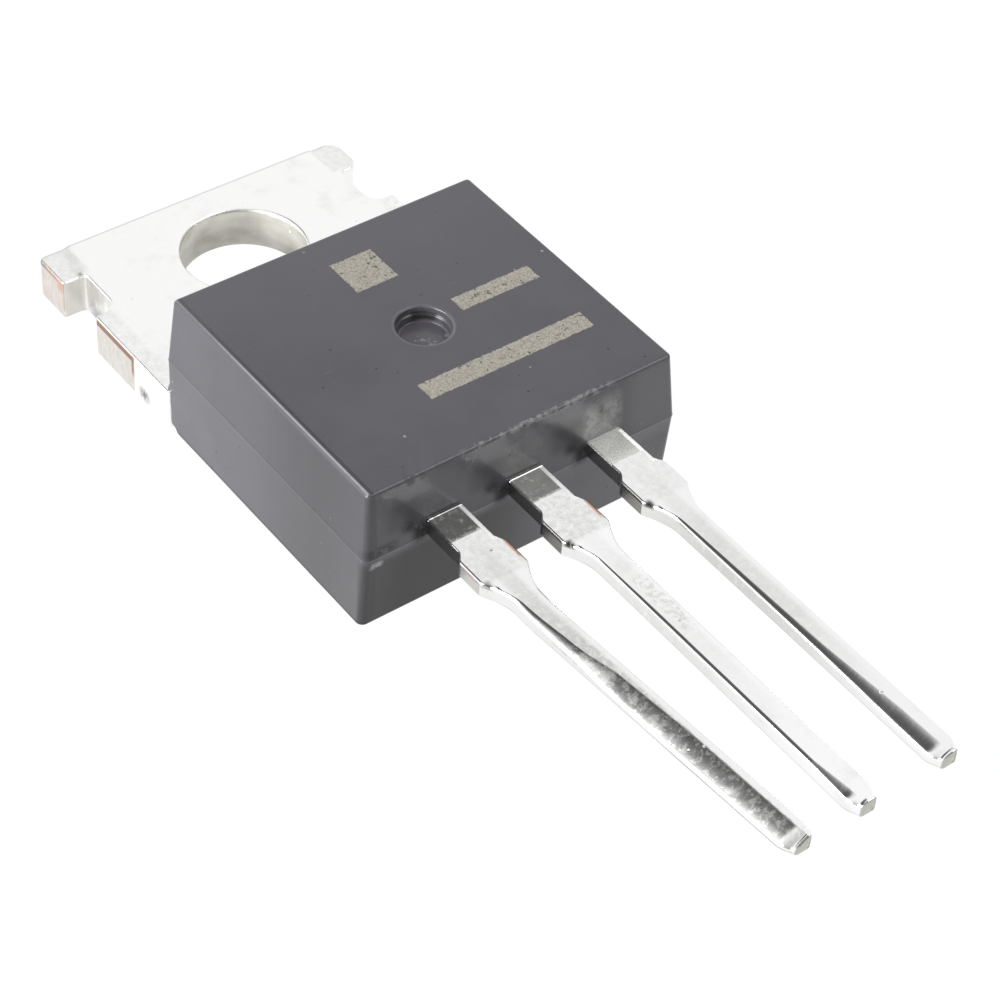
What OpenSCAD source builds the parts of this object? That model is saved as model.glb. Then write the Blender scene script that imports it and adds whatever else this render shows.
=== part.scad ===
// Three-lead linear voltage regulator in a flat power package: a stamped tab
// with a mounting hole, a moulded body over its inner end, and three leads.
// The origin is the centre of the mounting hole on the back face of the tab.
// +Y runs to the free end of the tab, +Z from the back face to the marked top.

/* [Tab] */
// Overhang of the tab's edges past the sides of the body at its parting line
tab_over = 0.05; // [0.03:0.01:0.15]
// Thickness of the tab and of the pad under the chip
tab_t = 1.3; // [1.1:0.05:1.5]
// From the hole centre to the free end of the tab
tab_end = 2.85; // [2.6:0.05:3.4]
// Diameter of the mounting hole
hole_d = 3.6; // [3.2:0.05:3.9]
// Bevel that the punch leaves round the front of the hole
hole_roll = 0.1; // [0.05:0.01:0.2]
// Length of each ear, from the free end to its notch
ear_len = 1.35; // [0.8:0.05:1.6]
// Length of each side notch along the tab
notch_len = 1.7; // [1.2:0.05:2.1]
// Depth of each side notch
notch_depth = 0.7; // [0.5:0.05:0.9]
// Radius in the notch corner next to the body
notch_r = 0.45; // [0.2:0.05:0.5]
// Radius in the notch corner next to the ear
ear_r = 0.15; // [0.05:0.05:0.4]
// Radius of the outer corners at the free end
end_corner_r = 0.2; // [0.05:0.05:0.5]

/* [Body] */
// Width of the moulded body at its parting line
body_w = 9.9; // [9.6:0.05:10.4]
// Length of the moulded body at its parting line
body_len = 9.15; // [8.8:0.05:9.6]
// Height of the moulded body over the back face of the tab
body_h = 4.4; // [4.3:0.05:4.8]
// From the hole centre to the end of the body that faces the hole
body_start = 3.8; // [3.5:0.05:4.2]
// Draft of the side walls above the parting line, in degrees
draft_above = 5; // [2:0.5:9]
// Draft of the front wall above the parting line, in degrees
draft_front = 6.5; // [2:0.5:9]
// Draft of the wall that faces the hole above the parting line, in degrees
draft_rear = 3; // [0.5:0.5:9]
// Draft of the front wall below the parting line, in degrees
draft_below = 3; // [0.5:0.5:6]
// Draft of the other walls below the parting line, in degrees
draft_side = 0.3; // [0.1:0.1:2]
// Radius of the upright corners at the top face
corner_r_top = 0.1; // [0.1:0.05:0.5]
// Radius of the upright corners at the back face
corner_r_back = 0.2; // [0.15:0.05:0.6]
// Bevel round the edge of the top face
top_bevel = 0.08; // [0.04:0.01:0.15]

/* [Ejector mark] */
// Diameter of the round ejector recess in the top face
mark_d = 1.5; // [1.0:0.05:2.0]
// Depth of the ejector recess
mark_depth = 0.45; // [0.1:0.05:0.6]
// From the body end that faces the hole to the centre of the recess
mark_in = 4.5; // [3.5:0.05:5.5]
// Sideways place of the recess, to the right of the middle line
mark_x = 0.1; // [-1:0.05:1]

/* [Leads] */
// Distance between the middle lines of neighbouring leads
pitch = 2.54; // [2.5:0.02:2.6]
// Thickness of the leads
lead_t = 0.48; // [0.4:0.02:0.6]
// Height of the underside of the leads over the back face
lead_z = 2.4; // [2.2:0.05:2.6]
// Width of the leads where they leave the body
root_w = 1.08; // [0.9:0.02:1.2]
// Width of the leads where the dam bar was cut away
dam_w = 1.47; // [1.3:0.01:1.6]
// Width of the long, narrow part of the leads
lead_w = 0.78; // [0.6:0.02:0.86]
// Length of the leads outside the body
lead_len = 12.85; // [10:0.05:14]
// From the body to the start of the dam bar stretch
root_len = 1.4; // [1.0:0.05:2.0]
// Length of the dam bar stretch
dam_len = 1.05; // [0.6:0.05:1.4]
// Length of the taper from the dam bar stretch to the narrow part
taper_len = 0.9; // [0.4:0.05:1.2]
// Length of the step where the dam bar was sheared off
shear_len = 0.08; // [0.04:0.01:0.15]
// Width of the end face at the tip of a lead
tip_w = 0.42; // [0.3:0.02:0.56]
// Length of the tapered tip
tip_len = 0.4; // [0.2:0.05:0.8]
// Sideways lean of the input lead, as handling has left it, in degrees
input_lean = 3.7; // [-5:0.1:5]
// From the start of the narrow part to the place where the input lead leans
lean_from = 0.4; // [0.2:0.1:3]

/* [Pad inside the body] */
// Plastic between the front wall and the pad
pad_cover = 1.7; // [1.5:0.05:2.2]
// Plastic between each side wall and the pad
side_cover = 0.8; // [0.6:0.05:1.1]
// Overhang of the upper half of the pad over its lower half, on each edge
lock_step = 0.35; // [0.2:0.05:0.5]
// From the body end that faces the hole to where the tab narrows to the pad
neck_in = 0.15; // [0.15:0.05:0.8]
// Depth of the groove pressed across the pad to hold the moulding
groove_depth = 0.25; // [0.1:0.05:0.4]
// From the body end that faces the hole to the middle of the groove
groove_in = 1.4; // [1.2:0.05:1.8]
// Length along the body over which the middle lead climbs from the pad
rise_len = 1.0; // [0.8:0.05:1.1]

/* [Posts inside the body] */
// Width of the post that a bond wire lands on
post_w = 2.1; // [1.8:0.05:2.3]
// Length of the post along the body
post_len = 2.2; // [1.9:0.05:2.5]
// Plastic between the post and the front wall
post_cover = 0.75; // [0.5:0.05:1.0]
// Outward shift of the middle of a post from the middle of its lead
post_shift = 0.1; // [0:0.05:0.3]

/* [Chip] */
// Width of the silicon chip
chip_w = 2.6; // [2.2:0.05:3.2]
// Length of the silicon chip along the body
chip_len = 2.0; // [1.8:0.05:2.4]
// Thickness of the silicon chip
chip_t = 0.28; // [0.15:0.01:0.4]
// From the front edge of the pad to the chip
chip_gap = 2.1; // [1.6:0.05:2.6]
// Thickness of the solder under the chip
solder_t = 0.05; // [0.02:0.01:0.1]
// Margin of solder round the chip
solder_rim = 0.08; // [0.02:0.01:0.15]

/* [Bond wires] */
// Diameter of the bond wires that carry the load
wire_d = 0.25; // [0.15:0.01:0.3]
// Diameter of the sense and ground bond wires
thin_wire_d = 0.15; // [0.1:0.01:0.2]
// Rise of a long wire's arc over the line between its two ends
wire_rise = 0.7; // [0.5:0.05:0.8]
// Rise of the short ground wire's arc
ground_rise = 0.35; // [0.3:0.05:0.45]
// Length of the flattened foot at each end of a wire
foot_len = 0.5; // [0.44:0.02:0.6]
// Inset of a wire's end from the nearest edge of the chip
foot_inset = 0.4; // [0.35:0.05:0.55]
// From the chip's edge to the ground wire's end on the pad
ground_reach = 0.7; // [0.6:0.05:0.9]

/* [Hidden] */

// How far a cutter runs past the face it cuts through
past = 0.5;
// Thickness of the thin plates that the body's form is stretched over
plate = 0.01;
// Overlap that makes two stretches of the lead frame one piece of metal
bite = 0.2;
// Parts of a wire's diameter that its flattened foot is high and wide
foot_high = 0.7;
foot_wide = 1.5;

// Ends of the body at its parting line, as places on Y
rear_y = -body_start;
front_y = rear_y - body_len;
parting_z = lead_z;
lead_top = lead_z + lead_t;
tab_w = body_w + 2 * tab_over;
pad_w = body_w - 2 * side_cover;

// Places along the leads
dam_y = front_y - root_len;
taper_y = dam_y - dam_len;
narrow_y = taper_y - taper_len;
lean_y = narrow_y - lean_from;
tip_y = front_y - lead_len;

// The pad and the posts inside the body
pad_front_y = front_y + pad_cover;
neck_y = rear_y - neck_in;
post_front_y = front_y + post_cover;
post_back_y = post_front_y + post_len;
post_y = post_front_y + post_len / 2;
post_x = pitch + post_shift;

// The chip on its solder
chip_y = pad_front_y + chip_gap + chip_len / 2;
chip_z = tab_t + solder_t;
chip_top = chip_z + chip_t;
chip_edge_x = chip_w / 2 - foot_inset;
chip_edge_y = chip_len / 2 - foot_inset;

// Points along an arc about (x, y), both ends included
function arc(x, y, r, from, to, steps = 8) = [
  for (i = [0 : steps])
    let (a = from + (to - from) * i / steps)
    [x + r * cos(a), y + r * sin(a)]
];

// A right-hand run of points, mirrored about X = 0 and run the other way
function mirrored(side) = [for (i = [len(side) - 1 : -1 : 0]) [-side[i].x, side[i].y]];

// Right-hand edge of the tab and pad, from the pad's front to the free end
function tab_side() =
  let (
    half = tab_w / 2,
    floor_x = half - notch_depth,
    ear_y = tab_end - ear_len,
    step_y = ear_y - notch_len
  )
  concat(
    [[pad_w / 2, pad_front_y], [pad_w / 2, neck_y], [half, neck_y], [half, step_y]],
    arc(floor_x + notch_r, step_y + notch_r, notch_r, 270, 180),
    arc(floor_x + ear_r, ear_y - ear_r, ear_r, 180, 90),
    [[half, ear_y]],
    arc(half - end_corner_r, tab_end - end_corner_r, end_corner_r, 0, 90)
  );

// Right-hand edge of a lead about its middle line, from start_y to its tip
function lead_side(start_y) = [
  [root_w / 2, start_y], [root_w / 2, dam_y],
  [dam_w / 2, dam_y - shear_len], [dam_w / 2, taper_y],
  [lead_w / 2, narrow_y], [lead_w / 2, lean_y],
  [lead_w / 2, tip_y + tip_len], [tip_w / 2, tip_y]
];

// Outline of a lead and its post, which is shifted off the lead's middle line
function post_lead(shift) = concat(
  [[shift + post_w / 2, post_back_y], [shift + post_w / 2, post_front_y]],
  lead_side(post_front_y),
  mirrored(lead_side(post_front_y)),
  [[shift - post_w / 2, post_front_y], [shift - post_w / 2, post_back_y]]
);

// A point of the input lead, turned sideways where it lies past the lean
function leaned(p) =
  p.y > lean_y ? p : [
    p.x * cos(input_lean) - (p.y - lean_y) * sin(input_lean),
    lean_y + p.x * sin(input_lean) + (p.y - lean_y) * cos(input_lean)
  ];

// Stamped metal of the leads' gauge at the leads' height
module lead_metal(points) {
  translate([0, 0, lead_z]) linear_extrude(lead_t) polygon(points);
}

// Profile along Y and Z, stretched evenly to both sides of X = 0
module across(width) {
  rotate([90, 0, 90]) translate([0, 0, -width / 2]) linear_extrude(width) children();
}

// The mounting hole with the bevel of its front rim
module mounting_hole() {
  translate([0, 0, -past]) cylinder(h = tab_t + 2 * past, d = hole_d, $fn = 96);
  translate([0, 0, tab_t - hole_roll])
    cylinder(h = hole_roll + past, r1 = hole_d / 2, r2 = hole_d / 2 + hole_roll + past, $fn = 96);
}

// Metal coined away under the edges of the pad, so that the moulding locks
module pad_lock() {
  lock_x = pad_w / 2 - lock_step;
  run = neck_y - pad_front_y + past;
  for (side = [-1, 1])
    translate([side > 0 ? lock_x : -lock_x - lock_step - past, pad_front_y - past, -past])
      cube([lock_step + past, run, tab_t / 2 + past]);
  translate([-pad_w / 2 - past, pad_front_y - past, -past])
    cube([pad_w + 2 * past, lock_step + past, tab_t / 2 + past]);
}

// The V groove pressed across the pad between the hole and the chip
module pad_groove() {
  y = rear_y - groove_in;
  across(pad_w + 2 * past)
    polygon([
      [y - groove_depth - past, tab_t + past], [y, tab_t - groove_depth],
      [y + groove_depth + past, tab_t + past]
    ]);
}

// The middle lead's climb from the pad's front edge to the leads' height
module middle_rise() {
  slope = atan2(lead_top - tab_t, rise_len);
  lag = lead_t * tan(slope / 2);
  top_y = pad_front_y - rise_len;
  across(root_w)
    polygon([
      [pad_front_y + bite, tab_t], [pad_front_y, tab_t],
      [top_y, lead_top], [front_y, lead_top], [front_y, lead_z],
      [top_y - lag, lead_z], [pad_front_y - lag, tab_t - lead_t],
      [pad_front_y + bite, tab_t - lead_t]
    ]);
}

module tab_lead_frame() {
  color("gainsboro")
    union() {
      difference() {
        linear_extrude(tab_t) polygon(concat(tab_side(), mirrored(tab_side())));
        mounting_hole();
        pad_lock();
        pad_groove();
      }
      middle_rise();
      lead_metal(concat(lead_side(front_y + bite), mirrored(lead_side(front_y + bite))));
    }
}

module input_lead() {
  color("silver")
    translate([-pitch, 0, 0])
      lead_metal([for (p = post_lead(-post_shift)) leaned(p)]);
}

module output_lead() {
  color("silver")
    translate([pitch, 0, 0]) lead_metal(post_lead(post_shift));
}

module regulator_chip() {
  color("dimgray")
    translate([-chip_w / 2, chip_y - chip_len / 2, chip_z]) cube([chip_w, chip_len, chip_t]);
}

module chip_solder() {
  color("lightslategray")
    translate([-chip_w / 2 - solder_rim, chip_y - chip_len / 2 - solder_rim, tab_t])
      cube([chip_w + 2 * solder_rim, chip_len + 2 * solder_rim, solder_t]);
}

// A foot pressed flat on its landing, with round ends along X
module wire_foot(d) {
  r = foot_wide * d / 2;
  reach = foot_len / 2 - r;
  linear_extrude(foot_high * d)
    polygon(concat(arc(reach, 0, r, -90, 90), arc(-reach, 0, r, 90, 270)));
}

// A wire bent to one arc between two landings, with a foot on each
module bond_wire(from, to, d, rise) {
  run = norm([to.x - from.x, to.y - from.y]);
  climb = to.z - from.z;
  chord = norm([run, climb]);
  arc_r = (chord * chord / 4 + rise * rise) / (2 * rise);
  half = asin(chord / 2 / arc_r);
  foot_back = foot_len / 2 - d / 2;
  translate(from) rotate([0, 0, atan2(to.y - from.y, to.x - from.x)]) {
    translate([0, 0, d / 2]) rotate([90, -atan2(climb, run), 0])
      translate([chord / 2, rise - arc_r, 0]) rotate([0, 0, 90 - half])
        rotate_extrude(angle = 2 * half, $fn = 96) translate([arc_r, 0]) circle(d = d, $fn = 24);
    translate([-foot_back, 0, 0]) wire_foot(d);
    translate([run + foot_back, 0, climb]) wire_foot(d);
  }
}

module input_bond_wire() {
  color("lightgray")
    bond_wire([-chip_edge_x, chip_y - chip_edge_y, chip_top],
      [-post_x, post_y, lead_top], wire_d, wire_rise);
}

module output_bond_wire() {
  color("lightgray")
    bond_wire([chip_edge_x, chip_y - chip_edge_y, chip_top],
      [post_x, post_y, lead_top], wire_d, wire_rise);
}

module sense_bond_wire() {
  color("lightgray")
    bond_wire([chip_edge_x, chip_y + chip_edge_y, chip_top],
      [post_x + post_w / 4, post_y + post_len / 4, lead_top], thin_wire_d, wire_rise);
}

module ground_bond_wire() {
  color("lightgray")
    bond_wire([0, chip_y - chip_edge_y, chip_top],
      [0, chip_y - chip_len / 2 - ground_reach, tab_t], thin_wire_d, ground_rise);
}

// One level of the body's form: a thin plate with round corners
module body_level(z, side_in, rear_in, front_in, r) {
  half = body_w / 2 - side_in - r;
  for (x = [-half, half], y = [rear_y - rear_in - r, front_y + front_in + r])
    translate([x, y, z]) cylinder(h = plate, r = r, $fn = 32);
}

// The moulding's outer form, widest at the parting line and drafted both ways
module body_form() {
  rise = body_h - top_bevel - parting_z;
  side = rise * tan(draft_above);
  rear = rise * tan(draft_rear);
  front = rise * tan(draft_front);
  down = parting_z * tan(draft_side);
  front_down = parting_z * tan(draft_below);
  bevel = top_bevel;
  hull() {
    body_level(0, down, down, front_down, corner_r_back);
    body_level(parting_z, 0, 0, 0, (corner_r_top + corner_r_back) / 2);
    body_level(body_h - bevel - plate, side, rear, front, corner_r_top);
    body_level(body_h - plate, side + bevel, rear + bevel, front + bevel, corner_r_top);
  }
}

// The round mark of the ejector pin that pushed the moulding out
module ejector_mark() {
  translate([mark_x, rear_y - mark_in, body_h - mark_depth])
    cylinder(h = mark_depth + past, d = mark_d, $fn = 64);
}

module moulded_body() {
  color("#4a4a4d")
    difference() {
      body_form();
      ejector_mark();
      tab_lead_frame();
      input_lead();
      output_lead();
      chip_solder();
      regulator_chip();
      input_bond_wire();
      output_bond_wire();
      sense_bond_wire();
      ground_bond_wire();
    }
}

moulded_body();
tab_lead_frame();
input_lead();
output_lead();
regulator_chip();
chip_solder();
input_bond_wire();
output_bond_wire();
sense_bond_wire();
ground_bond_wire();
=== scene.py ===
"""Dressed model of a three-lead voltage regulator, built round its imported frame.

The object is a moulded body over the inner end of a stamped, tinned tab, with three
tinned leads. Lengths in the classes are in millimetres and become metres in the meshes.
The origin is the centre of the mounting hole on the back face, +Y runs to the free end
of the tab and +Z from the back face to the marked top.
"""

import logging
import math
from dataclasses import dataclass, field
from enum import Enum
from typing import Any, Union

import bpy
import numpy as np
from mathutils import Matrix, Vector
from mathutils.geometry import delaunay_2d_cdt


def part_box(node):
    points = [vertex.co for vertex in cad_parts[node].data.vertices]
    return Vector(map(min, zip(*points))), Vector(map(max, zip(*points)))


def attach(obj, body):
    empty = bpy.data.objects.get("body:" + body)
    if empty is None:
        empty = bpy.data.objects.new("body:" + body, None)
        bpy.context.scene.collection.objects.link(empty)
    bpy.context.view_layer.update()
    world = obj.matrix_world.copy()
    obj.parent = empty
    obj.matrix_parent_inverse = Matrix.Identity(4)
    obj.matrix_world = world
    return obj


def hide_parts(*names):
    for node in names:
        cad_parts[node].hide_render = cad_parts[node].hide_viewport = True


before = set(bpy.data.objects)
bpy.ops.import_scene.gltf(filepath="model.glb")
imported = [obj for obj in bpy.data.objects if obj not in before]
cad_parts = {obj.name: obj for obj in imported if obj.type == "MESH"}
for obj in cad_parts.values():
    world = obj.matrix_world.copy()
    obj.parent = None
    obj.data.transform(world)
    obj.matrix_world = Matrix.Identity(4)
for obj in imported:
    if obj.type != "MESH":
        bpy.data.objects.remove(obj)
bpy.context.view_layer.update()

LOG = logging.getLogger("regulator")
MM = 0.001
Array = np.ndarray
Colour = tuple[float, float, float, float]


class Slot(Enum):
    """Names of the record's material slots."""

    MOULDING = "moulding"
    TAB = "tab_plating"
    LEAD = "lead_plating"


# Shapes worked out as arrays


def ease(value: Array, low: float, high: float) -> Array:
    """Smooth step 3t^2 - 2t^3, where t runs from 0 at low to 1 at high."""
    t = np.clip((value - low) / (high - low), 0.0, 1.0)
    return t * t * (3.0 - 2.0 * t)


def band(value: Array, low: float, high: float, soft: float) -> Array:
    """One between low and high and zero outside, with edges softened by soft."""
    return ease(value, low - soft, low + soft) * (1.0 - ease(value, high - soft, high + soft))


def rough_field(points: Array, period: float, seed: int) -> Array:
    """Smooth random field: eased blend of random values on the corners of cubic cells.

    Args:
        points: Places, with three coordinates on the last axis.
        period: Edge of a cell.
        seed: Seed of the random values.

    Returns:
        Values from -1 to 1, one for each place.
    """
    cells = 32
    table = np.random.default_rng(seed).uniform(-1.0, 1.0, (cells,) * 3)
    low = np.floor(points / period).astype(int)
    t = points / period - low
    t = t * t * (3.0 - 2.0 * t)
    total = np.zeros(points.shape[:-1])
    for corner in np.ndindex(2, 2, 2):
        index = np.moveaxis((low + corner) % cells, -1, 0)
        total += np.prod(np.where(corner, t, 1.0 - t), axis=-1) * table[tuple(index)]
    return total


def filleted(corners: Array, radii: Array, step: float, arc_steps: int = 9) -> Array:
    """Closed outline with its corners rounded and its straights cut into short steps.

    At each corner an arc of its radius touches both sides: its points turn evenly from
    one touching point to the other about the arc's centre.

    Args:
        corners: Corner points (n, 2), counter-clockwise.
        radii: Radius of each corner (n,).
        step: Longest distance between points of a straight.
        arc_steps: Points of each arc.

    Returns:
        Outline points (m, 2).
    """
    back = np.roll(corners, 1, axis=0) - corners
    ahead = np.roll(corners, -1, axis=0) - corners
    back /= np.linalg.norm(back, axis=1, keepdims=True)
    ahead /= np.linalg.norm(ahead, axis=1, keepdims=True)
    half = np.arccos(np.clip(np.sum(back * ahead, axis=1), -1.0, 1.0)) / 2.0
    reach = (radii / np.tan(half))[:, None]
    bisector = (back + ahead) / np.linalg.norm(back + ahead, axis=1, keepdims=True)
    centre = corners + bisector * (radii / np.sin(half))[:, None]
    start = corners + back * reach - centre
    end = corners + ahead * reach - centre
    turn = (math.pi - 2.0 * half)[:, None, None]
    s = np.linspace(0.0, 1.0, arc_steps)[None, :, None]
    arcs = start[:, None] * np.sin((1.0 - s) * turn) + end[:, None] * np.sin(s * turn)
    points = (centre[:, None] + arcs / np.sin(turn)).reshape(-1, 2)
    closed = np.vstack([points, points[:1]])
    length = np.concatenate([[0.0], np.cumsum(np.linalg.norm(np.diff(closed, axis=0), axis=1))])
    extra = np.arange(0.0, length[-1], step)
    near = np.abs(extra[:, None] - length[None, :]).min(axis=1) < step * 0.4
    stations = np.sort(np.concatenate([length[:-1], extra[~near]]))
    return np.column_stack([np.interp(stations, length, closed[:, k]) for k in (0, 1)])


def inset(loop: Array, distance: Union[float, Array]) -> Array:
    """Closed outline moved inwards along its normals, which are the tangents turned left."""
    tangent = np.roll(loop, -1, axis=0) - np.roll(loop, 1, axis=0)
    tangent /= np.linalg.norm(tangent, axis=1, keepdims=True)
    normal = np.column_stack([-tangent[:, 1], tangent[:, 0]])
    return loop + normal * np.reshape(distance, (-1, 1))


def ring(loop: Array, z: Union[float, Array]) -> Array:
    """Outline points (n, 2) lifted to height z as one ring (n, 3)."""
    return np.column_stack([loop, np.broadcast_to(z, len(loop))])


def skin(rings: Array, poles: tuple[bool, bool] = (True, True)) -> tuple[Array, list]:
    """Skin over rings: a quad between four neighbouring points, a fan to each pole.

    Args:
        rings: Points (r, n, 3) of rings that are closed round their second axis.
        poles: Whether the first and the last ring are closed by a fan to their middle.

    Returns:
        Vertices (v, 3) and faces as index lists.
    """
    count, around = rings.shape[:2]
    index = np.arange(count * around).reshape(count, around)
    turned = np.roll(index, -1, axis=1)
    quads = np.stack([index[:-1], turned[:-1], turned[1:], index[1:]], axis=-1).reshape(-1, 4)
    vertices = [rings.reshape(-1, 3)]
    faces = quads.tolist()
    for wanted, row, flip in ((poles[0], 0, True), (poles[1], count - 1, False)):
        if wanted:
            pole = sum(len(v) for v in vertices)
            vertices.append(rings[row].mean(axis=0)[None])
            fan = np.column_stack([index[row], turned[row], np.full(around, pole)])
            faces += (fan[:, ::-1] if flip else fan).tolist()
    return np.vstack(vertices), faces


def cap(outline: Array, hole: Array, spacing: float, margin: float) -> tuple[Array, Array]:
    """Flat sheet inside an outline and outside a round hole about the origin.

    The sheet's inner points are a square grid, joined with both edges by a Delaunay
    triangulation, so that a height may be laid over it.

    Args:
        outline: Outer edge (n, 2).
        hole: Edge of the hole (m, 2).
        spacing: Spacing of the grid.
        margin: Distance that the grid keeps from the edges.

    Returns:
        Vertices (v, 2) and triangles (t, 3), counter-clockwise.
    """
    low = outline.min(axis=0)
    high = outline.max(axis=0)
    xs = np.arange(low[0] + spacing / 2, high[0], spacing)
    ys = np.arange(low[1] + spacing / 2, high[1], spacing)
    grid = np.stack(np.meshgrid(xs, ys), axis=-1).reshape(-1, 2)
    start = outline[None]
    end = np.roll(outline, -1, axis=0)[None]
    p = grid[:, None]
    crosses = (start[..., 1] > p[..., 1]) != (end[..., 1] > p[..., 1])
    rise = np.where(end[..., 1] == start[..., 1], 1.0, end[..., 1] - start[..., 1])
    at = start[..., 0] + (p[..., 1] - start[..., 1]) * (end[..., 0] - start[..., 0]) / rise
    inside = (np.sum(crosses & (p[..., 0] < at), axis=1) % 2) == 1
    clear = np.linalg.norm(p - start, axis=-1).min(axis=1) > margin
    free = np.linalg.norm(grid, axis=1) > np.linalg.norm(hole, axis=1).max() + margin
    points = np.vstack([outline, hole, grid[inside & clear & free]])
    n, m = len(outline), len(hole)
    outer = np.column_stack([np.arange(n), np.roll(np.arange(n), -1)])
    inner = n + np.column_stack([np.arange(m), np.roll(np.arange(m), -1)])
    made = delaunay_2d_cdt([Vector(q) for q in points.tolist()], np.vstack([outer, inner]).tolist(), [], 1, 1e-9)
    vertices = np.array([tuple(v) for v in made[0]])
    faces = np.array(made[2])
    middle = vertices[faces].mean(axis=1)
    kept = faces[np.linalg.norm(middle, axis=1) > np.linalg.norm(hole, axis=1).min() * 0.999]
    corner = vertices[kept]
    a, b = corner[:, 1] - corner[:, 0], corner[:, 2] - corner[:, 0]
    left = (a[:, 0] * b[:, 1] - a[:, 1] * b[:, 0])[:, None] > 0
    return vertices, np.where(left, kept, kept[:, ::-1])


def add_piece(
    name: str,
    shells: list[tuple[Array, list]],
    material: bpy.types.Material,
    node: str,
    sharp: float = 50.0,
) -> bpy.types.Object:
    """Makes one object of the scene from its shells and fits it to the frame.

    Args:
        name: Name of the piece.
        shells: Vertices in millimetres and faces of each shell.
        material: Its finish.
        node: CAD node that it stands for.
        sharp: Angle between faces, in degrees, past which an edge is drawn sharp.

    Returns:
        The object, riding on the root body.
    """
    start = np.cumsum([0] + [len(v) for v, _ in shells])
    vertices = np.vstack([v for v, _ in shells]) * MM
    faces = [[i + offset for i in face] for offset, (_, part) in zip(start, shells) for face in part]
    mesh = bpy.data.meshes.new(name)
    mesh.from_pydata(vertices.tolist(), [], faces)
    mesh.validate()
    mesh.shade_smooth()
    mesh.set_sharp_from_angle(angle=math.radians(sharp))
    mesh.materials.append(material)
    piece = bpy.data.objects.new(name, mesh)
    bpy.context.scene.collection.objects.link(piece)
    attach(piece, "root")
    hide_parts(node)
    LOG.info("%s: %d faces, for %s", name, len(mesh.polygons), node)
    return piece


# Shader networks


class Value:
    """A number socket of a network; Python's operators on it add Math nodes."""

    def __init__(self, net: "Network", socket: bpy.types.NodeSocket) -> None:
        """Keeps the network and the socket."""
        self.net = net
        self.socket = socket

    def math(self, operation: str, first: "Number", second: "Number") -> "Value":
        """One Math node on two numbers."""
        return self.net.value("ShaderNodeMath", {"operation": operation}, {0: first, 1: second})

    def __add__(self, other: "Number") -> "Value":
        """Sum."""
        return self.math("ADD", self, other)

    def __sub__(self, other: "Number") -> "Value":
        """Difference."""
        return self.math("SUBTRACT", self, other)

    def __rsub__(self, other: "Number") -> "Value":
        """Difference from a number on the left."""
        return self.math("SUBTRACT", other, self)

    def __mul__(self, other: "Number") -> "Value":
        """Product."""
        return self.math("MULTIPLY", self, other)

    def __truediv__(self, other: "Number") -> "Value":
        """Quotient."""
        return self.math("DIVIDE", self, other)

    def __abs__(self) -> "Value":
        """Size without the sign."""
        return self.math("ABSOLUTE", self, 0.0)

    def either(self, other: "Number") -> "Value":
        """The larger of two numbers."""
        return self.math("MAXIMUM", self, other)

    def ease(self, low: float, high: float) -> "Value":
        """Smooth step from 0 at low to 1 at high."""
        sockets = {0: self, 1: low, 2: high}
        return self.net.value("ShaderNodeMapRange", {"interpolation_type": "SMOOTHSTEP"}, sockets)

    def between(self, low: float, high: float, soft: float) -> "Value":
        """One between low and high and zero outside, with edges softened by soft."""
        return self.ease(low - soft, low + soft) * (1.0 - self.ease(high - soft, high + soft))

    __radd__ = __add__
    __rmul__ = __mul__


Number = Union[Value, float]


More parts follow.
